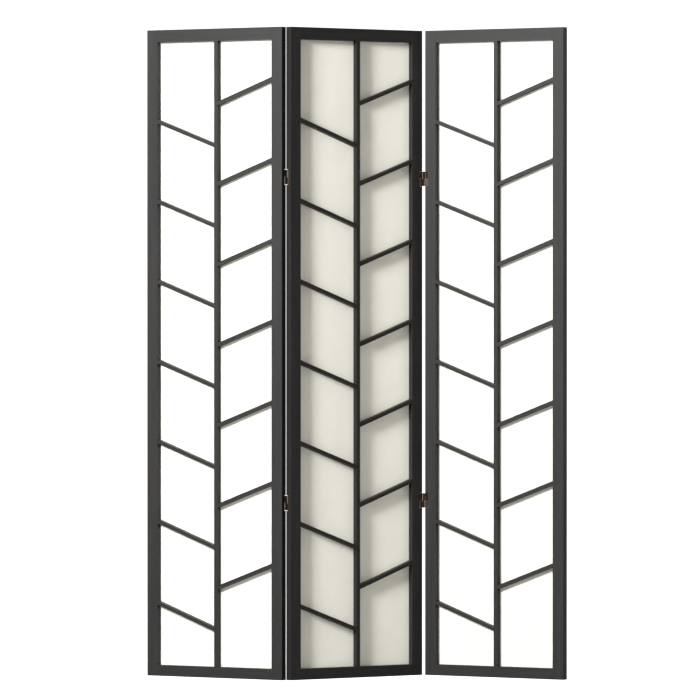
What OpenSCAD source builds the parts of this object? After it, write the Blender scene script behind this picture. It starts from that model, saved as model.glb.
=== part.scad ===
// Three-panel folding room divider: black wooden frames with a herringbone
// lattice over white fibre paper, joined by two-pin hinges. Millimetres, +Z up,
// front towards -Y, origin on the floor under the middle of the whole screen.
// Inside a panel, x runs along its width, y from its front face to its back
// face, and z up from its foot.

/* [Panels] */
// Height of every panel
panel_h = 1785; // [1700:5:1850]
// Width of every panel
panel_w = 431; // [410:1:440]
// Thickness of the frame
panel_t = 22; // [21:0.5:24]
// Width of each upright
stile_w = 33.5; // [30:0.5:36]
// Height of the top rail
top_rail_h = 34; // [30:0.5:40]
// Height of the bottom rail
bottom_rail_h = 30.5; // [28:0.5:40]
// Small flat along every upright's corners
edge_ease = 0.5; // [0.4:0.1:1.2]

/* [Lattice] */
// Width of a slat across its length
slat_w = 10; // [8:0.1:13]
// Width of the centre bar
bar_w = 11; // [9:0.5:13]
// Depth of the lattice from the frame's front face back to the paper
slat_d = 17; // [15:0.5:17.5]
// Height a slat gains for each millimetre across
slat_rise = 0.376; // [0.3:0.002:0.45]
// Height from one slat to the next in a column
slat_pitch = 221; // [215:1:224]
// Slats in each column
slat_count = 7; // [5:1:7]
// How far the centre bar stands to the right of the panel's middle
bar_shift = 5; // [0:0.5:6]
// From the panel's top down to the first left slat, at the left upright
left_first = 252.6; // [240:1:262]
// From the panel's top down to the first right slat, at the right upright
right_first = 141.6; // [130:0.1:150]
// Extra drop of the lowest slat in each column
last_drop = 4.3; // [0:0.1:6]
// How deep the slats are let into the uprights and the centre bar
slat_let_in = 3; // [2:0.5:4]

/* [Paper] */
// Thickness of the paper
paper_t = 0.5; // [0.3:0.1:0.8]
// Width of the rebate that takes the paper's edge, and of its strips
rebate_w = 8; // [6:0.5:9]
// Spacing of the small nails along the long strips
nail_pitch = 245; // [200:5:300]

/* [Hinges] */
// Distance between the two pins of a hinge
pin_gap = 13.5; // [13.2:0.1:15]
// Depth of a pin below the face that its panel folds towards
pin_set = 3.4; // [3.3:0.1:4]
// Pin centre inside the end face, at the joint nearer the front
ridge_inset = 5.5; // [4.6:0.1:5.6]
// Pin centre inside the end face, at the joint nearer the back
valley_inset = 1.6; // [1.4:0.1:2.4]
// Radius of a hinge barrel
barrel_r = 3.2; // [3:0.1:3.3]
// Height of a hinge without its pin heads
hinge_h = 40.4; // [38:0.2:42]
// Thickness of the hinge's sheet metal
leaf_t = 1.5; // [1.2:0.1:2]
// Radius of a hinge pin
pin_r = 1.5; // [1.3:0.1:1.6]
// Height of the upper hinges' middle above the floor
upper_hinge_z = 1375; // [1360:5:1380]
// Height of the lower hinges' middle above the floor
lower_hinge_z = 484; // [475:1:495]

/* [Standing angles] */
// Turn of the left panel away from straight, right edge forward
left_turn = 29.4; // [25:0.1:35]
// Turn of the middle panel, left edge forward
middle_turn = 32.6; // [25:0.1:35]
// Turn of the right panel, right edge forward
right_turn = 29.4; // [25:0.1:35]

/* [Show] */
// Piece to draw, or all of them

/* [Hidden] */
$fn = 48;
wood = [0.13, 0.12, 0.12];
lattice_wood = [0.17, 0.16, 0.16];
paper_white = [0.97, 0.97, 0.94];
bronze = [0.36, 0.27, 0.20];
steel = [0.5, 0.48, 0.45];
fit = 0.15;

open_w = panel_w - 2 * stile_w;
open_h = panel_h - top_rail_h - bottom_rail_h;
bar_x = panel_w / 2 + bar_shift - bar_w / 2;
// Height of a slat measured straight up through it
slat_tall = slat_w * sqrt(1 + slat_rise * slat_rise);
strip_t = panel_t - slat_d - paper_t;

tenon_l = 20;
tenon_t = 10;
tenon_y = (panel_t - tenon_t) / 2;
tenon_shoulder = 7;
stub_l = 6;
stub_t = 6;

nail_r = 0.7;
nail_l = 9;
// Distance of the nails outside the opening's edge
nail_row = rebate_w / 2 + 0.5;
nail_count = floor((open_h - 40) / nail_pitch) + 1;
nail_z0 = bottom_rail_h + (open_h - (nail_count - 1) * nail_pitch) / 2;
rail_nails = [for (f = [0.2, 0.5, 0.8]) stile_w + f * open_w];

// Hinge plan, from a pin's centre: the leaf plate's face and its back
plate_x = 6.5;
seat_x = plate_x + leaf_t;
plate_deep = 8;
seat_deep = 8.4;
seat_h = hinge_h + 2.0;
pin_head_r = 2.3;
pin_head_t = 0.8;
pin_bore_r = pin_r + 0.05;
barrel_part = 0.15;
web_t = 2.4;
swing_gap = 0.45;
screw_r = 1.4;
screw_l = 12;
screw_head_r = 2.5;
screw_head_t = 1.2;
screw_y = 5;
screw_z = 13;
hinge_heights = [upper_hinge_z, lower_hinge_z];

// Turns a plan point about the vertical
function turned(a, p) = [
    p[0] * cos(a) - p[1] * sin(a),
    p[0] * sin(a) + p[1] * cos(a)
];

// Pin centres in each panel's own plan
left_ridge_pin = [panel_w - ridge_inset, panel_t - pin_set];
middle_ridge_pin = [ridge_inset, panel_t - pin_set];
middle_valley_pin = [panel_w - valley_inset, pin_set];
right_valley_pin = [valley_inset, pin_set];

// Plan position of each panel's front left corner, counted from the middle
// panel's left pin; both links lie square to the front
middle_at = -turned(middle_turn, middle_ridge_pin);
left_at = [-pin_gap, 0] - turned(-left_turn, left_ridge_pin);
valley_at = middle_at + turned(middle_turn, middle_valley_pin);
right_at = valley_at + [pin_gap, 0] - turned(-right_turn, right_valley_pin);

// The whole screen's plan outline, whose middle becomes the origin
panel_plan = [
    [edge_ease, 0], [panel_w - edge_ease, 0],
    [panel_w, edge_ease], [panel_w, panel_t - edge_ease],
    [panel_w - edge_ease, panel_t], [edge_ease, panel_t],
    [0, panel_t - edge_ease], [0, edge_ease]
];
plan_points = [
    for (p = panel_plan) left_at + turned(-left_turn, p),
    for (p = panel_plan) middle_at + turned(middle_turn, p),
    for (p = panel_plan) right_at + turned(-right_turn, p)
];
plan_x = [for (p = plan_points) p[0]];
plan_y = [for (p = plan_points) p[1]];
middle_of_plan = [
    (min(plan_x) + max(plan_x)) / 2,
    (min(plan_y) + max(plan_y)) / 2
];

// Heights of the left column's slats at the left upright, and of the right
// column's slats at the right upright, at the middle of each slat
left_heights = [
    for (i = [0:slat_count - 1])
        panel_h - left_first - i * slat_pitch - (i == slat_count - 1 ? last_drop : 0)
];
right_heights = [
    for (i = [0:slat_count - 1])
        panel_h - right_first - i * slat_pitch - (i == slat_count - 1 ? last_drop : 0)
];

// ---- placing ----

module on_left() {
    translate([left_at[0] - middle_of_plan[0], left_at[1] - middle_of_plan[1], 0])
        rotate([0, 0, -left_turn])
            children();
}

module on_middle() {
    translate([middle_at[0] - middle_of_plan[0], middle_at[1] - middle_of_plan[1], 0])
        rotate([0, 0, middle_turn])
            children();
}

module on_right() {
    translate([right_at[0] - middle_of_plan[0], right_at[1] - middle_of_plan[1], 0])
        rotate([0, 0, -right_turn])
            children();
}

// The left pins of the ridge links, at floor level
module at_ridge() {
    translate([-pin_gap - middle_of_plan[0], -middle_of_plan[1], 0])
        children();
}

// The left pins of the valley links, at floor level
module at_valley() {
    translate([valley_at[0] - middle_of_plan[0], valley_at[1] - middle_of_plan[1], 0])
        children();
}

// ---- lattice shapes ----

// One slat across a gap, drawn on the face: x from 0 to run, its middle at
// height 0 at x = 0, lengthened at both ends and thickened all round by more
module slat_outline(run, rise, reach, more) {
    half = slat_tall / 2 + more;
    polygon([
        [-reach, -reach * rise - half], [run + reach, (run + reach) * rise - half],
        [run + reach, (run + reach) * rise + half], [-reach, -reach * rise + half]
    ]);
}

// A flat outline on the panel's face, given depth from y0 to y1
module from_face(y0, y1) {
    translate([0, y1, 0])
        rotate([90, 0, 0])
            linear_extrude(y1 - y0)
                children();
}

module left_slat(z, reach, more) {
    translate([stile_w, 0, z])
        from_face(more == 0 ? 0 : -1, slat_d)
            slat_outline(bar_x - stile_w, -slat_rise, reach, more);
}

module right_slat(z, reach, more) {
    translate([panel_w - stile_w, 0, z])
        mirror([1, 0, 0])
            from_face(more == 0 ? 0 : -1, slat_d)
                slat_outline(panel_w - stile_w - bar_x - bar_w, -slat_rise, reach, more);
}

// ---- frame pieces ----

// Holes for the strip nails, running in from the back face
module nail_hole(x, z) {
    translate([x, panel_t + 1, z])
        rotate([90, 0, 0])
            cylinder(r = nail_r + 0.02, h = nail_l + 1.1);
}

module side_nail_holes(x) {
    for (i = [0:nail_count - 1])
        nail_hole(x, nail_z0 + i * nail_pitch);
}

// Seat for one hinge leaf, for a panel that runs towards +x from the pin and
// whose wood lies towards +y: open at the end face and at the near face
module leaf_seat() {
    translate([-20, -20, -seat_h / 2])
        cube([20 + seat_x, 20 + seat_deep, seat_h]);
    for (s = [-1, 1])
        translate([seat_x - 1, screw_y, s * screw_z])
            rotate([0, 90, 0])
                cylinder(r = screw_r + 0.05, h = screw_l + 1.2);
}

// Both seats at one end of a panel; wood_x and wood_y are 1 or -1 and point
// from the pin into the panel
module leaf_seats(pin, wood_x, wood_y) {
    for (z = hinge_heights)
        translate([pin[0], pin[1], z])
            mirror([wood_x < 0 ? 1 : 0, 0, 0])
                mirror([0, wood_y < 0 ? 1 : 0, 0])
                    leaf_seat();
}

// Left upright, before any hinge seats are cut
module upright() {
    difference() {
        linear_extrude(panel_h)
            polygon([
                [edge_ease, 0], [stile_w - edge_ease / 2, 0],
                [stile_w, edge_ease / 2], [stile_w, panel_t],
                [edge_ease, panel_t], [0, panel_t - edge_ease], [0, edge_ease]
            ]);
        translate([stile_w - rebate_w, slat_d, bottom_rail_h - rebate_w])
            cube([rebate_w + 1, panel_t, open_h + 2 * rebate_w]);
        for (z = [tenon_shoulder, panel_h - top_rail_h + tenon_shoulder])
            translate([stile_w - tenon_l - 0.5, tenon_y - 0.05, z - 0.05])
                cube([
                    tenon_l + 1.5, tenon_t + 0.1,
                    (z < panel_h / 2 ? bottom_rail_h : top_rail_h) - 2 * tenon_shoulder + 0.1
                ]);
        side_nail_holes(stile_w - nail_row);
    }
}

module left_stile_blank() {
    difference() {
        upright();
        for (z = left_heights)
            left_slat(z, slat_let_in + fit, fit);
    }
}

module right_stile_blank() {
    difference() {
        translate([panel_w, 0, 0])
            mirror([1, 0, 0])
                upright();
        for (z = right_heights)
            right_slat(z, slat_let_in + fit, fit);
    }
}

// Rail outline across its length: front face at y = 0, inner edge at z = h,
// with a rebate at the back for the paper
module rail(h) {
    difference() {
        union() {
            translate([stile_w, 0, 0])
                rotate([90, 0, 90])
                    linear_extrude(open_w)
                        polygon([
                            [0, 0], [panel_t, 0], [panel_t, h - rebate_w],
                            [slat_d, h - rebate_w], [slat_d, h],
                            [edge_ease / 2, h], [0, h - edge_ease / 2]
                        ]);
            translate([stile_w - tenon_l, tenon_y, tenon_shoulder])
                cube([open_w + 2 * tenon_l, tenon_t, h - 2 * tenon_shoulder]);
        }
        translate([bar_x + 1.45, (slat_d - stub_t) / 2 - 0.05, h - stub_l - 0.3])
            cube([bar_w - 2.9, stub_t + 0.1, stub_l + 1]);
        for (x = rail_nails)
            nail_hole(x, h - nail_row);
    }
}

module bottom_rail() {
    color(wood)
        rail(bottom_rail_h);
}

module top_rail() {
    color(wood)
        translate([0, 0, panel_h])
            mirror([0, 0, 1])
                rail(top_rail_h);
}

module centre_bar() {
    color(lattice_wood)
        difference() {
            union() {
                translate([bar_x, 0, bottom_rail_h])
                    cube([bar_w, slat_d, open_h]);
                translate([bar_x + 1.5, (slat_d - stub_t) / 2, bottom_rail_h - stub_l])
                    cube([bar_w - 3, stub_t, open_h + 2 * stub_l]);
            }
            for (z = left_heights)
                left_slat(z, slat_let_in + fit, fit);
            for (z = right_heights)
                right_slat(z, slat_let_in + fit, fit);
        }
}

module left_slats() {
    color(lattice_wood)
        for (z = left_heights)
            left_slat(z, slat_let_in, 0);
}

module right_slats() {
    color(lattice_wood)
        for (z = right_heights)
            right_slat(z, slat_let_in, 0);
}

// One sheet, pierced where the strips' nails go through it
module paper() {
    color(paper_white)
        difference() {
            translate([stile_w - rebate_w + 0.5, slat_d, bottom_rail_h - rebate_w + 0.5])
                cube([open_w + 2 * rebate_w - 1, paper_t, open_h + 2 * rebate_w - 1]);
            for (x = [stile_w - nail_row, panel_w - stile_w + nail_row])
                side_nail_holes(x);
            for (x = rail_nails)
                for (z = [bottom_rail_h - nail_row, panel_h - top_rail_h + nail_row])
                    nail_hole(x, z);
        }
}

// Side strip over the paper's edge, at the left upright
module side_strip_shape() {
    difference() {
        translate([stile_w - rebate_w + 0.1, slat_d + paper_t, bottom_rail_h - rebate_w + 0.1])
            cube([rebate_w - 0.1, strip_t, open_h + 2 * rebate_w - 0.2]);
        side_nail_holes(stile_w - nail_row);
    }
}

module left_strip() {
    color(wood)
        side_strip_shape();
}

module right_strip() {
    color(wood)
        translate([panel_w, 0, 0])
            mirror([1, 0, 0])
                side_strip_shape();
}

// Strip between the side strips; z is its lower edge
module cross_strip(z, nail_z) {
    difference() {
        translate([stile_w + 0.1, slat_d + paper_t, z])
            cube([open_w - 0.2, strip_t, rebate_w - 0.1]);
        for (x = rail_nails)
            nail_hole(x, nail_z);
    }
}

module bottom_strip() {
    color(wood)
        cross_strip(bottom_rail_h - rebate_w + 0.1, bottom_rail_h - nail_row);
}

module top_strip() {
    color(wood)
        cross_strip(panel_h - top_rail_h, panel_h - top_rail_h + nail_row);
}

module strip_nail(x, z) {
    translate([x, panel_t, z])
        rotate([90, 0, 0])
            cylinder(r = nail_r, h = nail_l);
}

module strip_nails() {
    color(steel) {
        for (x = [stile_w - nail_row, panel_w - stile_w + nail_row])
            for (i = [0:nail_count - 1])
                strip_nail(x, nail_z0 + i * nail_pitch);
        for (x = rail_nails)
            for (z = [bottom_rail_h - nail_row, panel_h - top_rail_h + nail_row])
                strip_nail(x, z);
    }
}

// ---- hinge pieces ----

// Leaf for a panel that runs towards +x from the pin, wood towards +y. Its
// barrel takes the lower half and its sheet runs off the barrel's near side.
module lower_leaf() {
    half = hinge_h / 2;
    difference() {
        union() {
            translate([0, 0, -half])
                cylinder(r = barrel_r, h = half - barrel_part);
            translate([0, -barrel_r, -half])
                cube([plate_x + 0.1, leaf_t, half - barrel_part]);
            translate([plate_x, -barrel_r, -half])
                cube([leaf_t, barrel_r + plate_deep, hinge_h]);
        }
        translate([0, 0, -half - 1])
            cylinder(r = pin_bore_r, h = half + 2);
        for (s = [-1, 1])
            translate([plate_x, screw_y, s * screw_z])
                rotate([0, 90, 0])
                    union() {
                        translate([0, 0, -0.05])
                            cylinder(r1 = screw_head_r + 0.1, r2 = screw_r + 0.05, h = screw_head_t + 0.05);
                        cylinder(r = screw_r + 0.05, h = leaf_t + 1);
                    }
    }
}

// One hinge leaf in place; wood_x and wood_y point from the pin into the
// panel, upper is true when its barrel takes the upper half
module leaf(wood_x, wood_y, upper) {
    color(bronze)
        mirror([wood_x < 0 ? 1 : 0, 0, 0])
            mirror([0, wood_y < 0 ? 1 : 0, 0])
                mirror([0, 0, upper ? 1 : 0])
                    lower_leaf();
}

// Centre link from a left pin at x = 0 to a right pin at x = pin_gap. Its
// barrel is low on the left pin and high on the right one.
module link() {
    half = hinge_h / 2;
    color(bronze)
        difference() {
            union() {
                translate([0, -web_t / 2, -half])
                    cube([pin_gap, web_t, hinge_h]);
                translate([0, 0, -half])
                    cylinder(r = barrel_r, h = half - barrel_part);
                translate([pin_gap, 0, barrel_part])
                    cylinder(r = barrel_r, h = half - barrel_part);
            }
            translate([0, 0, -barrel_part])
                cylinder(r = barrel_r + swing_gap, h = half + 1);
            translate([pin_gap, 0, -half - 1])
                cylinder(r = barrel_r + swing_gap, h = half + 1 + barrel_part);
            for (x = [0, pin_gap])
                translate([x, 0, -half - 1])
                    cylinder(r = pin_bore_r, h = hinge_h + 2);
        }
}

// The same link turned over, for hinges let in from the back
module link_turned() {
    mirror([0, 0, 1])
        link();
}

module hinge_pin() {
    head_z = hinge_h / 2 + 0.1 + pin_head_t / 2;
    cylinder(r = pin_r, h = 2 * head_z, center = true);
    for (s = [-1, 1])
        translate([0, 0, s * head_z])
            cylinder(r = pin_head_r, h = pin_head_t, center = true);
}

module hinge_pins() {
    color(bronze)
        for (z = hinge_heights)
            for (x = [0, pin_gap])
                translate([x, 0, z])
                    hinge_pin();
}

// Countersunk screw running towards +x, its flat head at x = 0
module screw() {
    rotate([0, 90, 0])
        union() {
            cylinder(r1 = screw_head_r, r2 = screw_r, h = screw_head_t);
            cylinder(r = screw_r, h = screw_l);
        }
}

// The four leaf screws at one end of a panel
module leaf_screws(pin, wood_x, wood_y) {
    color(bronze)
        for (z = hinge_heights)
            for (s = [-1, 1])
                translate([pin[0] + wood_x * plate_x, pin[1] + wood_y * screw_y, z + s * screw_z])
                    mirror([wood_x < 0 ? 1 : 0, 0, 0])
                        screw();
}

// A leaf at one height on a panel's pin line
module panel_leaf(pin, z, wood_x, wood_y, upper) {
    translate([pin[0], pin[1], z])
        leaf(wood_x, wood_y, upper);
}

// ---- uprights, with their hinge seats ----

module plain_left_stile() {
    color(wood)
        left_stile_blank();
}

module plain_right_stile() {
    color(wood)
        right_stile_blank();
}

module left_panel_right_stile() {
    color(wood)
        difference() {
            right_stile_blank();
            leaf_seats(left_ridge_pin, -1, -1);
        }
}

module middle_panel_left_stile() {
    color(wood)
        difference() {
            left_stile_blank();
            leaf_seats(middle_ridge_pin, 1, -1);
        }
}

module middle_panel_right_stile() {
    color(wood)
        difference() {
            right_stile_blank();
            leaf_seats(middle_valley_pin, -1, 1);
        }
}

module right_panel_left_stile() {
    color(wood)
        difference() {
            left_stile_blank();
            leaf_seats(right_valley_pin, 1, 1);
        }
}

// ---- pieces ----

on_left() plain_left_stile();  // left_panel_left_stile
on_left() left_panel_right_stile();
on_left() top_rail();  // left_panel_top_rail
on_left() bottom_rail();  // left_panel_bottom_rail
on_left() centre_bar();  // left_panel_centre_bar
on_left() left_slats();  // left_panel_left_slats
on_left() right_slats();  // left_panel_right_slats
on_left() paper();  // left_panel_paper
on_left() left_strip();  // left_panel_left_strip
on_left() right_strip();  // left_panel_right_strip
on_left() top_strip();  // left_panel_top_strip
on_left() bottom_strip();  // left_panel_bottom_strip
on_left() strip_nails();  // left_panel_strip_nails

on_middle() middle_panel_left_stile();
on_middle() middle_panel_right_stile();
on_middle() top_rail();  // middle_panel_top_rail
on_middle() bottom_rail();  // middle_panel_bottom_rail
on_middle() centre_bar();  // middle_panel_centre_bar
on_middle() left_slats();  // middle_panel_left_slats
on_middle() right_slats();  // middle_panel_right_slats
on_middle() paper();  // middle_panel_paper
on_middle() left_strip();  // middle_panel_left_strip
on_middle() right_strip();  // middle_panel_right_strip
on_middle() top_strip();  // middle_panel_top_strip
on_middle() bottom_strip();  // middle_panel_bottom_strip
on_middle() strip_nails();  // middle_panel_strip_nails

on_right() right_panel_left_stile();
on_right() plain_right_stile();  // right_panel_right_stile
on_right() top_rail();  // right_panel_top_rail
on_right() bottom_rail();  // right_panel_bottom_rail
on_right() centre_bar();  // right_panel_centre_bar
on_right() left_slats();  // right_panel_left_slats
on_right() right_slats();  // right_panel_right_slats
on_right() paper();  // right_panel_paper
on_right() left_strip();  // right_panel_left_strip
on_right() right_strip();  // right_panel_right_strip
on_right() top_strip();  // right_panel_top_strip
on_right() bottom_strip();  // right_panel_bottom_strip
on_right() strip_nails();  // right_panel_strip_nails

on_left() panel_leaf(left_ridge_pin, upper_hinge_z, -1, -1, false);  // ridge_upper_left_leaf
on_middle() panel_leaf(middle_ridge_pin, upper_hinge_z, 1, -1, true);  // ridge_upper_right_leaf
at_ridge() translate([0, 0, upper_hinge_z]) link_turned();  // ridge_upper_link
on_left() panel_leaf(left_ridge_pin, lower_hinge_z, -1, -1, false);  // ridge_lower_left_leaf
on_middle() panel_leaf(middle_ridge_pin, lower_hinge_z, 1, -1, true);  // ridge_lower_right_leaf
at_ridge() translate([0, 0, lower_hinge_z]) link_turned();  // ridge_lower_link
at_ridge() hinge_pins();  // ridge_hinge_pins
on_left() leaf_screws(left_ridge_pin, -1, -1);  // ridge_left_screws
on_middle() leaf_screws(middle_ridge_pin, 1, -1);  // ridge_right_screws

on_middle() panel_leaf(middle_valley_pin, upper_hinge_z, -1, 1, true);  // valley_upper_left_leaf
on_right() panel_leaf(right_valley_pin, upper_hinge_z, 1, 1, false);  // valley_upper_right_leaf
at_valley() translate([0, 0, upper_hinge_z]) link();  // valley_upper_link
on_middle() panel_leaf(middle_valley_pin, lower_hinge_z, -1, 1, true);  // valley_lower_left_leaf
on_right() panel_leaf(right_valley_pin, lower_hinge_z, 1, 1, false);  // valley_lower_right_leaf
at_valley() translate([0, 0, lower_hinge_z]) link();  // valley_lower_link
at_valley() hinge_pins();  // valley_hinge_pins
on_middle() leaf_screws(middle_valley_pin, -1, 1);  // valley_left_screws
on_right() leaf_screws(right_valley_pin, 1, 1);  // valley_right_screws
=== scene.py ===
import math

import bmesh
import bpy
from mathutils import Matrix, Vector, noise
from mathutils.bvhtree import BVHTree


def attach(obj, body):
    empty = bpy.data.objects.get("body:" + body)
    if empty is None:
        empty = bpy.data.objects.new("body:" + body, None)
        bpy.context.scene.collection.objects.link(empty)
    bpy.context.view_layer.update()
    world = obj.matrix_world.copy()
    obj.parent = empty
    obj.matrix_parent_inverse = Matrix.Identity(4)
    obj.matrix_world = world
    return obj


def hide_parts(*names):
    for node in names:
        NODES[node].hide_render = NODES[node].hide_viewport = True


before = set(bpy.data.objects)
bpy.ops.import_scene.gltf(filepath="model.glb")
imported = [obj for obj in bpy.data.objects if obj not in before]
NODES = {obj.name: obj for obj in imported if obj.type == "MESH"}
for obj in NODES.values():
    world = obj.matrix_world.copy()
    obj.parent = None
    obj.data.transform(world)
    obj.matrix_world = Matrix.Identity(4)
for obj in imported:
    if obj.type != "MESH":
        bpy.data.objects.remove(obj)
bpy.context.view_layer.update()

PANELS = ("left_panel", "middle_panel", "right_panel")
BODY = {
    "left_panel": "panel_left",
    "middle_panel": "panel_middle",
    "right_panel": "panel_right",
}


# ---------------------------------------------------------------- placing


def plan_turn(panel):
    """The panel's turn about +Z: the way its top rail runs, left to right."""
    points = [v.co for v in NODES[panel + "_top_rail"].data.vertices]
    n = len(points)
    cx = sum(p.x for p in points) / n
    cy = sum(p.y for p in points) / n
    sxx = sum((p.x - cx) ** 2 for p in points)
    sxy = sum((p.x - cx) * (p.y - cy) for p in points)
    syy = sum((p.y - cy) ** 2 for p in points)
    return 0.5 * math.atan2(2 * sxy, sxx - syy)


def panel_matrix(panel):
    """From the panel's own axes (x across, y back, z up) to the row frame."""
    turn = Matrix.Rotation(plan_turn(panel), 4, "Z")
    back = turn.inverted()
    low = Vector((1e9, 1e9, 1e9))
    for part in ("left_stile", "right_stile"):
        for v in NODES[f"{panel}_{part}"].data.vertices:
            p = back @ v.co
            low = Vector(map(min, low, p))
    return turn @ Matrix.Translation(low)


PLACE = {p: panel_matrix(p) for p in PANELS}


def own_box(panel, node):
    """A CAD node's box in its panel's own axes."""
    back = PLACE[panel].inverted()
    low, high = Vector((1e9,) * 3), Vector((-1e9,) * 3)
    for v in NODES[node].data.vertices:
        p = back @ v.co
        low = Vector(map(min, low, p))
        high = Vector(map(max, high, p))
    return low, high


def slat_slope(panel, node):
    """Rise over run of the slats in a node, from their longest edges."""
    back = PLACE[panel].inverted()
    mesh = NODES[node].data
    best, slope = 0.0, 0.0
    for e in mesh.edges:
        a, b = (back @ mesh.vertices[i].co for i in e.vertices)
        run = abs(b.x - a.x)
        if run > best and abs(b.y - a.y) < 0.001:
            best, slope = run, (b.z - a.z) / (b.x - a.x)
    return slope


# ---------------------------------------------------------------- materials

STAIN_DARK, STAIN_LIGHT = (0.0096, 0.0092, 0.0090), (0.0204, 0.0195, 0.0188)
LATTICE_DARK, LATTICE_LIGHT = (0.0092, 0.0088, 0.0083), (0.0192, 0.0184, 0.0173)
RUBBED_WOOD = (0.06, 0.053, 0.048)
PAPER_THIN, PAPER_THICK = (0.872, 0.851, 0.777), (0.90, 0.879, 0.805)
PAPER_FIBRE = (0.955, 0.945, 0.905)
# Share of the light that passes through the paper
PAPER_THROUGH = 0.22
RUBBED_BRONZE = (0.24, 0.17, 0.12)
HINGE_DARK, HINGE_LIGHT = (0.036, 0.023, 0.016), (0.058, 0.036, 0.025)
PIN_DARK, PIN_LIGHT = (0.022, 0.015, 0.011), (0.04, 0.027, 0.02)
NAIL_DARK, NAIL_LIGHT = (0.12, 0.115, 0.11), (0.25, 0.24, 0.23)

def new_material(name):
    m = bpy.data.materials.new(name)
    m.use_nodes = True
    tree = m.node_tree
    tree.nodes.clear()
    out = tree.nodes.new("ShaderNodeOutputMaterial")
    shader = tree.nodes.new("ShaderNodeBsdfPrincipled")
    tree.links.new(shader.outputs["BSDF"], out.inputs["Surface"])
    return m, tree, shader, out


def node(tree, kind, values=(), **props):
    n = tree.nodes.new("ShaderNode" + kind)
    for k, v in props.items():
        setattr(n, k, v)
    for k, v in dict(values).items():
        n.inputs[k].default_value = v
    return n


def turned(tree, vector, turns):
    """Turns coordinates by (axis, angle) steps, in that order."""
    for axis, angle in turns:
        n = node(tree, "VectorRotate", {"Angle": angle}, rotation_type=axis + "_AXIS")
        tree.links.new(vector, n.inputs["Vector"])
        vector = n.outputs["Vector"]
    return vector


def stretched(tree, vector, scale, shift=(0, 0, 0)):
    n = node(tree, "Mapping", {"Scale": scale, "Location": shift})
    tree.links.new(vector, n.inputs["Vector"])
    return n.outputs["Vector"]


def ramp(tree, value, stops):
    n = node(tree, "ValToRGB")
    tree.links.new(value, n.inputs["Fac"])
    r = n.color_ramp
    while len(r.elements) < len(stops):
        r.elements.new(0.5)
    for e, (at, colour) in zip(r.elements, stops):
        e.position = at
        e.color = (*colour, 1.0) if len(colour) == 3 else colour
    return n.outputs["Color"]


def edge_wear(tree, radius, untouched, worn_through, most):
    """How far the surface is rubbed, from 0 to most: it grows where a small
    rounding of this radius would turn the surface, which is along its edges."""
    rounded = node(tree, "Bevel", {"Radius": radius}, samples=6)
    geometry = node(tree, "NewGeometry")
    bend = node(tree, "VectorMath", operation="DOT_PRODUCT")
    tree.links.new(rounded.outputs["Normal"], bend.inputs[0])
    tree.links.new(geometry.outputs["Normal"], bend.inputs[1])
    limits = {"From Min": untouched, "From Max": worn_through, "To Max": most}
    wear = node(tree, "MapRange", limits)
    tree.links.new(bend.outputs["Value"], wear.inputs["Value"])
    return wear.outputs["Result"]


def wood(name, turns, shift, dark, light):
    """Black-stained, satin-lacquered wood. After the turns, the grain runs
    along z. Fine pores and streaks run with it; the stain is thinner along
    the sharp edges, where it has rubbed."""
    m, tree, shader, _ = new_material(name)
    link = tree.links.new
    coord = node(tree, "TexCoord").outputs["Object"]
    along = turned(tree, coord, turns)

    streaks = node(tree, "TexNoise", {"Scale": 1.0, "Detail": 5.0, "Roughness": 0.62})
    link(stretched(tree, along, (420, 420, 9), shift), streaks.inputs["Vector"])
    bands = node(
        tree, "TexNoise", {"Scale": 1.0, "Detail": 3.0, "Roughness": 0.5, "Distortion": 0.6}
    )
    link(stretched(tree, along, (75, 75, 2.2), shift), bands.inputs["Vector"])
    pores = node(tree, "TexNoise", {"Scale": 1.0, "Detail": 2.0, "Roughness": 0.7})
    link(stretched(tree, along, (1500, 1500, 55), shift), pores.inputs["Vector"])

    mix = node(tree, "Mix", {"Factor": 0.45}, data_type="FLOAT")
    link(streaks.outputs["Fac"], mix.inputs["A"])
    link(bands.outputs["Fac"], mix.inputs["B"])
    tone = ramp(tree, mix.outputs["Result"], [(0.30, dark), (0.72, light)])

    # rubbed edges, in patches
    patchy = node(tree, "TexNoise", {"Scale": 60.0, "Detail": 3.0})
    link(along, patchy.inputs["Vector"])
    wear_patch = node(tree, "Math", operation="MULTIPLY")
    link(edge_wear(tree, 0.0011, 0.999, 0.93, 0.3), wear_patch.inputs[0])
    link(patchy.outputs["Fac"], wear_patch.inputs[1])
    worn = node(tree, "Mix", data_type="RGBA")
    link(wear_patch.outputs["Value"], worn.inputs["Factor"])
    link(tone, worn.inputs["A"])
    worn.inputs["B"].default_value = (*RUBBED_WOOD, 1)
    link(worn.outputs["Result"], shader.inputs["Base Color"])

    rough = node(tree, "MapRange", {"To Min": 0.42, "To Max": 0.58})
    link(streaks.outputs["Fac"], rough.inputs["Value"])
    link(rough.outputs["Result"], shader.inputs["Roughness"])
    shader.inputs["Specular IOR Level"].default_value = 0.16

    height = node(tree, "Mix", {"Factor": 0.5}, data_type="FLOAT")
    link(pores.outputs["Fac"], height.inputs["A"])
    link(streaks.outputs["Fac"], height.inputs["B"])
    bump = node(tree, "Bump", {"Strength": 0.30, "Distance": 0.0004})
    link(height.outputs["Result"], bump.inputs["Height"])
    link(bump.outputs["Normal"], shader.inputs["Normal"])
    return m


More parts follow.
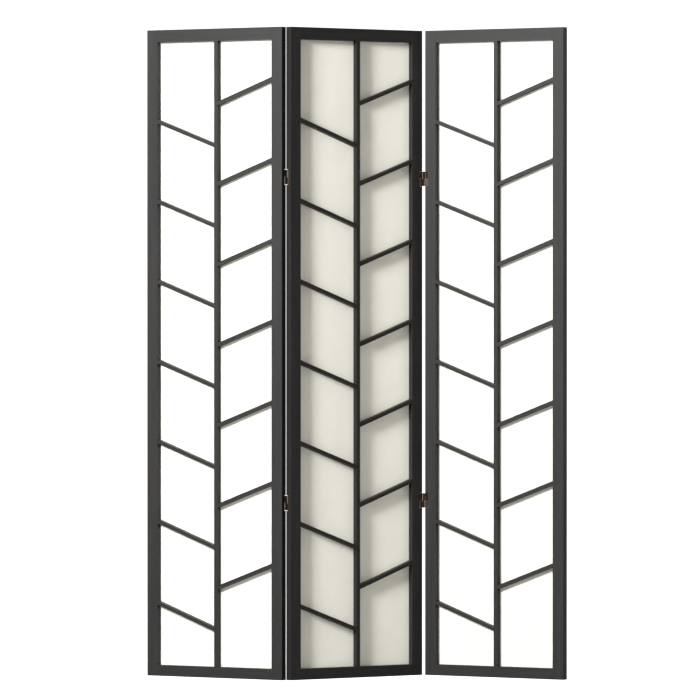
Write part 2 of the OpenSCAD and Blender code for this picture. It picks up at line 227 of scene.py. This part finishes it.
def fibre_paper(name, turns, shift):
    """White mulberry paper: a soft cloudy sheet with long pale fibres lying
    every way, and light that comes a little way through it."""
    m, tree, shader, out = new_material(name)
    link = tree.links.new
    coord = node(tree, "TexCoord").outputs["Object"]
    flat = turned(tree, coord, turns)

    clouds = node(tree, "TexNoise", {"Scale": 26.0, "Detail": 5.0, "Roughness": 0.6})
    link(flat, clouds.inputs["Vector"])

    # each set of fibres, at its own angle, is thin bright lines where a bent
    # noise crosses one level
    total = None
    for k, (angle, across, length) in enumerate(
        ((0.35, 170, 16), (1.25, 150, 14), (2.1, 190, 18), (2.75, 160, 15))
    ):
        lie = turned(tree, flat, [("Y", angle)])
        fibre = node(tree, "TexNoise", {"Scale": 1.0, "Detail": 1.5, "Distortion": 0.9})
        where = stretched(tree, lie, (across, 40, length), (k * 3.1 + shift, k, 0))
        link(where, fibre.inputs["Vector"])
        off = node(tree, "Math", {1: 0.56}, operation="SUBTRACT")
        link(fibre.outputs["Fac"], off.inputs[0])
        size = node(tree, "Math", operation="ABSOLUTE")
        link(off.outputs["Value"], size.inputs[0])
        limits = {"From Min": 0.0, "From Max": 0.013, "To Min": 1.0, "To Max": 0.0}
        line = node(tree, "MapRange", limits)
        link(size.outputs["Value"], line.inputs["Value"])
        if total is None:
            total = line.outputs["Result"]
        else:
            most = node(tree, "Math", operation="MAXIMUM")
            link(total, most.inputs[0])
            link(line.outputs["Result"], most.inputs[1])
            total = most.outputs["Value"]

    base = ramp(tree, clouds.outputs["Fac"], [(0.3, PAPER_THIN), (0.7, PAPER_THICK)])
    faint = node(tree, "Math", {1: 0.5}, operation="MULTIPLY")
    link(total, faint.inputs[0])
    tint = node(tree, "Mix", data_type="RGBA")
    link(faint.outputs["Value"], tint.inputs["Factor"])
    link(base, tint.inputs["A"])
    tint.inputs["B"].default_value = (*PAPER_FIBRE, 1)
    link(tint.outputs["Result"], shader.inputs["Base Color"])
    shader.inputs["Roughness"].default_value = 0.85
    shader.inputs["Specular IOR Level"].default_value = 0.2

    relief = node(tree, "Math", {1: 0.35}, operation="MULTIPLY_ADD")
    link(total, relief.inputs[0])
    link(clouds.outputs["Fac"], relief.inputs[2])
    bump = node(tree, "Bump", {"Strength": 0.25, "Distance": 0.0005})
    link(relief.outputs["Value"], bump.inputs["Height"])
    link(bump.outputs["Normal"], shader.inputs["Normal"])

    through = node(tree, "BsdfTranslucent")
    link(tint.outputs["Result"], through.inputs["Color"])
    link(bump.outputs["Normal"], through.inputs["Normal"])
    both = node(tree, "MixShader", {0: PAPER_THROUGH})
    link(shader.outputs["BSDF"], both.inputs[1])
    link(through.outputs["BSDF"], both.inputs[2])
    link(both.outputs["Shader"], out.inputs["Surface"])
    return m


def bronze(name, dark, light, metal):
    """Plated metal, mottled, rubbed lighter along its edges."""
    m, tree, shader, _ = new_material(name)
    link = tree.links.new
    coord = node(tree, "TexCoord").outputs["Object"]
    mottle = node(tree, "TexNoise", {"Scale": 320.0, "Detail": 4.0, "Roughness": 0.6})
    link(coord, mottle.inputs["Vector"])
    tone = ramp(tree, mottle.outputs["Fac"], [(0.35, dark), (0.7, light)])
    worn = node(tree, "Mix", data_type="RGBA")
    link(edge_wear(tree, 0.0005, 0.998, 0.9, 0.14), worn.inputs["Factor"])
    link(tone, worn.inputs["A"])
    worn.inputs["B"].default_value = (*RUBBED_BRONZE, 1)
    link(worn.outputs["Result"], shader.inputs["Base Color"])
    shader.inputs["Metallic"].default_value = metal
    rough = node(tree, "MapRange", {"To Min": 0.34, "To Max": 0.46})
    link(mottle.outputs["Fac"], rough.inputs["Value"])
    link(rough.outputs["Result"], shader.inputs["Roughness"])
    bump = node(tree, "Bump", {"Strength": 0.15, "Distance": 0.0002})
    link(mottle.outputs["Fac"], bump.inputs["Height"])
    link(bump.outputs["Normal"], shader.inputs["Normal"])
    return m


def dress(obj, material):
    obj.data.materials.clear()
    obj.data.materials.append(material)


# ---------------------------------------------------------------- wood parts

QUARTER = math.pi / 2
# Radius of the eased edges, in metres
STRIP_EASE, SLAT_EASE, FRAME_EASE, HINGE_EASE = 0.0005, 0.0006, 0.0007, 0.00025


def ease_edges(obj, width):
    """Rounds the sharp edges, as sanding and lacquer leave them."""
    b = obj.modifiers.new("eased", "BEVEL")
    b.width = width
    b.segments = 2
    b.limit_method = "ANGLE"
    b.angle_limit = math.radians(40)
    b.harden_normals = False
    b.use_clamp_overlap = True


def dress_wood(name, turns, number, dark, light, ease):
    """Stains one wooden node; its number sets its own place in the grain."""
    shift = (number * 7.3, number * 3.7, number)
    dress(NODES[name], wood("wood_" + name, turns, shift, dark, light))
    ease_edges(NODES[name], ease)


seed = 0
for panel in PANELS:
    square = ("Z", -plan_turn(panel))
    upright_turns = [square]
    cross_turns = [square, ("Y", QUARTER)]
    for part, turns, low, high, ease in (
        ("left_stile", upright_turns, STAIN_DARK, STAIN_LIGHT, FRAME_EASE),
        ("right_stile", upright_turns, STAIN_DARK, STAIN_LIGHT, FRAME_EASE),
        ("top_rail", cross_turns, STAIN_DARK, STAIN_LIGHT, FRAME_EASE),
        ("bottom_rail", cross_turns, STAIN_DARK, STAIN_LIGHT, FRAME_EASE),
        ("centre_bar", upright_turns, LATTICE_DARK, LATTICE_LIGHT, FRAME_EASE),
        ("left_strip", upright_turns, STAIN_DARK, STAIN_LIGHT, STRIP_EASE),
        ("right_strip", upright_turns, STAIN_DARK, STAIN_LIGHT, STRIP_EASE),
        ("top_strip", cross_turns, STAIN_DARK, STAIN_LIGHT, STRIP_EASE),
        ("bottom_strip", cross_turns, STAIN_DARK, STAIN_LIGHT, STRIP_EASE),
    ):
        seed += 1
        dress_wood(f"{panel}_{part}", turns, seed, low, high, ease)
    for part in ("left_slats", "right_slats"):
        name = f"{panel}_{part}"
        slope = math.atan(slat_slope(panel, name))
        turns = [square, ("Y", slope), ("Y", QUARTER)]
        seed += 1
        dress_wood(name, turns, seed, LATTICE_DARK, LATTICE_LIGHT, SLAT_EASE)

# ---------------------------------------------------------------- metal parts

hinge_metal = bronze("hinge_metal", HINGE_DARK, HINGE_LIGHT, 0.95)
pin_metal = bronze("pin_metal", PIN_DARK, PIN_LIGHT, 0.85)
nail_metal = bronze("nail_metal", NAIL_DARK, NAIL_LIGHT, 1.0)
for name, obj in NODES.items():
    if name.endswith("nails"):
        dress(obj, nail_metal)
    elif "screws" in name or name.endswith("pins"):
        dress(obj, pin_metal)
    elif name.endswith("leaf") or name.endswith("link"):
        dress(obj, hinge_metal)
        ease_edges(obj, HINGE_EASE)

# ---------------------------------------------------------------- paper

# Faces across and up each sheet
SHEET_STEPS = (60, 290)
SHEET_THICK = 0.00025
# Clearance from the lattice's back, and how far the sheet may lie in front of it
SHEET_GAP, SHEET_FORWARD = 0.00004, 0.0002
# The sheet is flat this near the wood, and fully free this much further out
HELD_WITHIN, FREE_AFTER = 0.001, 0.03

def wood_tree(panel):
    """Search tree of everything the panel's paper lies against."""
    joined = bmesh.new()
    for part in (
        "left_stile",
        "right_stile",
        "top_rail",
        "bottom_rail",
        "centre_bar",
        "left_slats",
        "right_slats",
    ):
        joined.from_mesh(NODES[f"{panel}_{part}"].data)
    tree = BVHTree.FromBMesh(joined)
    joined.free()
    return tree


def make_paper(panel):
    """One sheet, glued to the back of the lattice and held under the strips.
    Between the slats it has drawn tight but cockled a little."""
    low, high = own_box(panel, panel + "_paper")
    place = PLACE[panel]
    touching = wood_tree(panel)
    width, length = high.x - low.x, high.z - low.z
    across, up = SHEET_STEPS
    front = low.y + SHEET_GAP
    mesh = bmesh.new()
    rows = []
    for j in range(up + 1):
        row = []
        for i in range(across + 1):
            x = low.x + width * i / across
            z = low.z + length * j / up
            p = place @ Vector((x, front, z))
            distance = touching.find_nearest(p)[3]
            free = min(1.0, max(0.0, (distance - HELD_WITHIN) / FREE_AFTER))
            free = free * free * (3 - 2 * free)
            wave = noise.fractal(
                Vector((x * 17 + plan_turn(panel) * 9, z * 6.5, 3.0)), 0.9, 2.0, 3
            )
            fine = noise.noise(Vector((x * 60, z * 34, 9.0)))
            depth = free * (0.0004 + 0.0003 * wave + 0.00008 * fine)
            y = front + max(depth, -SHEET_FORWARD)
            row.append(mesh.verts.new(place @ Vector((x, y, z))))
        rows.append(row)
    for j in range(up):
        for i in range(across):
            face = mesh.faces.new(
                (rows[j][i], rows[j][i + 1], rows[j + 1][i + 1], rows[j + 1][i])
            )
            face.smooth = True
    data = bpy.data.meshes.new(panel + "_paper_sheet")
    mesh.to_mesh(data)
    mesh.free()
    sheet = bpy.data.objects.new(panel + "_paper_sheet", data)
    bpy.context.scene.collection.objects.link(sheet)
    thick = sheet.modifiers.new("thickness", "SOLIDIFY")
    thick.thickness = SHEET_THICK
    thick.offset = -1
    turn = plan_turn(panel)
    data.materials.append(fibre_paper(panel + "_paper_fibres", [("Z", -turn)], turn * 20))
    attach(sheet, BODY[panel])
    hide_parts(panel + "_paper")


for panel in PANELS:
    make_paper(panel)

# ---------------------------------------------------------------- stage

scene = bpy.context.scene

# Plain tones up to 0.65, then a slow roll-off that reaches white at TONE_TOP
TONE_TOP = 1.3
TONES = (
    (0.0, 0.0),
    (0.35, 0.35),
    (0.65, 0.65),
    (0.8, 0.785),
    (0.95, 0.9),
    (1.1, 0.965),
    (TONE_TOP, 1.0),
)
WALL_GLOW = 1.0
ROOM_SEEN = 1.1 * TONE_TOP
ROOM_COLOUR, ROOM_GLOW = (1.0, 0.985, 0.965), 0.43
FLOOR_HALF = 30.0
WALL_HALF, WALL_HIGH, WALL_AT = 9.0, 7.0, 4.0


def set_tones():
    view = scene.view_settings
    view.view_transform = "Standard"
    view.use_curve_mapping = True
    mapping = view.curve_mapping
    mapping.white_level = (TONE_TOP,) * 3
    curve = mapping.curves[3]
    ends = (curve.points[0], curve.points[-1])
    for point, (light, shown) in zip(ends, (TONES[0], TONES[-1])):
        point.location = (light / TONE_TOP, shown)
    for light, shown in TONES[1:-1]:
        curve.points.new(light / TONE_TOP, shown)
    mapping.update()


set_tones()


def four_corners(name, corners):
    data = bpy.data.meshes.new(name)
    data.from_pydata(corners, [], [(0, 1, 2, 3)])
    obj = bpy.data.objects.new(name, data)
    scene.collection.objects.link(obj)
    return obj


def make_floor():
    """A floor that looks white, but sends back only part of its light."""
    h = FLOOR_HALF
    floor = four_corners("floor", [(-h, -h, 0), (h, -h, 0), (h, h, 0), (-h, h, 0)])
    m, tree, shader, _ = new_material("floor_white")
    shader.inputs["Base Color"].default_value = (0.35, 0.35, 0.35, 1)
    shader.inputs["Roughness"].default_value = 0.9
    shader.inputs["Specular IOR Level"].default_value = 0.1
    seen = node(tree, "LightPath")
    shader.inputs["Emission Color"].default_value = (1, 1, 1, 1)
    glow = node(tree, "Math", {1: TONE_TOP}, operation="MULTIPLY")
    tree.links.new(seen.outputs["Is Camera Ray"], glow.inputs[0])
    tree.links.new(glow.outputs["Value"], shader.inputs["Emission Strength"])
    floor.data.materials.append(m)


make_floor()


def make_backdrop():
    """A glowing white wall behind, as a studio lights its backdrop. It only
    lights the papers from behind: the white of the room is seen in its place."""
    w, h, y = WALL_HALF, WALL_HIGH, WALL_AT
    wall = four_corners("backdrop", [(-w, y, 0), (w, y, 0), (w, y, h), (-w, y, h)])
    m, _, shader, _ = new_material("backdrop_white")
    shader.inputs["Base Color"].default_value = (0.2, 0.2, 0.2, 1)
    shader.inputs["Emission Color"].default_value = (1, 1, 1, 1)
    shader.inputs["Emission Strength"].default_value = WALL_GLOW
    wall.data.materials.append(m)
    wall.visible_camera = False


make_backdrop()

# White all round for the eye, dimmer as light on the object
world = bpy.data.worlds.new("studio")
scene.world = world
world.use_nodes = True
wt = world.node_tree
wt.nodes.clear()
wout = wt.nodes.new("ShaderNodeOutputWorld")
bright = wt.nodes.new("ShaderNodeBackground")
bright.inputs["Color"].default_value = (1, 1, 1, 1)
bright.inputs["Strength"].default_value = ROOM_SEEN
room = wt.nodes.new("ShaderNodeBackground")
room.inputs["Color"].default_value = (*ROOM_COLOUR, 1)
room.inputs["Strength"].default_value = ROOM_GLOW
path = wt.nodes.new("ShaderNodeLightPath")
choose = wt.nodes.new("ShaderNodeMixShader")
wt.links.new(path.outputs["Is Camera Ray"], choose.inputs["Fac"])
wt.links.new(room.outputs["Background"], choose.inputs[1])
wt.links.new(bright.outputs["Background"], choose.inputs[2])
wt.links.new(choose.outputs["Shader"], wout.inputs["Surface"])


def softbox(name, at, towards, size, power):
    data = bpy.data.lights.new(name, "AREA")
    data.shape = "DISK"
    data.size = size
    data.energy = power
    obj = bpy.data.objects.new(name, data)
    obj.location = at
    obj.rotation_mode = "QUATERNION"
    obj.rotation_quaternion = (Vector(towards) - Vector(at)).to_track_quat("-Z", "Y")
    scene.collection.objects.link(obj)


softbox("key", at=(-3.45, -3.9, 2.95), towards=(0, 0, 0.9), size=1.3, power=645)

# ---------------------------------------------------------------- camera

CAMERA_AT = Vector((-0.0164, -15.529, 1.01))
LOOK_DOWN = math.radians(0.400)
LENS = 290.25
camera_data = bpy.data.cameras.new("camera")
camera_data.lens = LENS
camera_data.sensor_width = 36.0
camera_data.clip_start = 0.1
camera_data.clip_end = 200
camera = bpy.data.objects.new("camera", camera_data)
camera.location = CAMERA_AT
camera.rotation_euler = (math.pi / 2 - LOOK_DOWN, 0, 0)
scene.collection.objects.link(camera)
scene.camera = camera
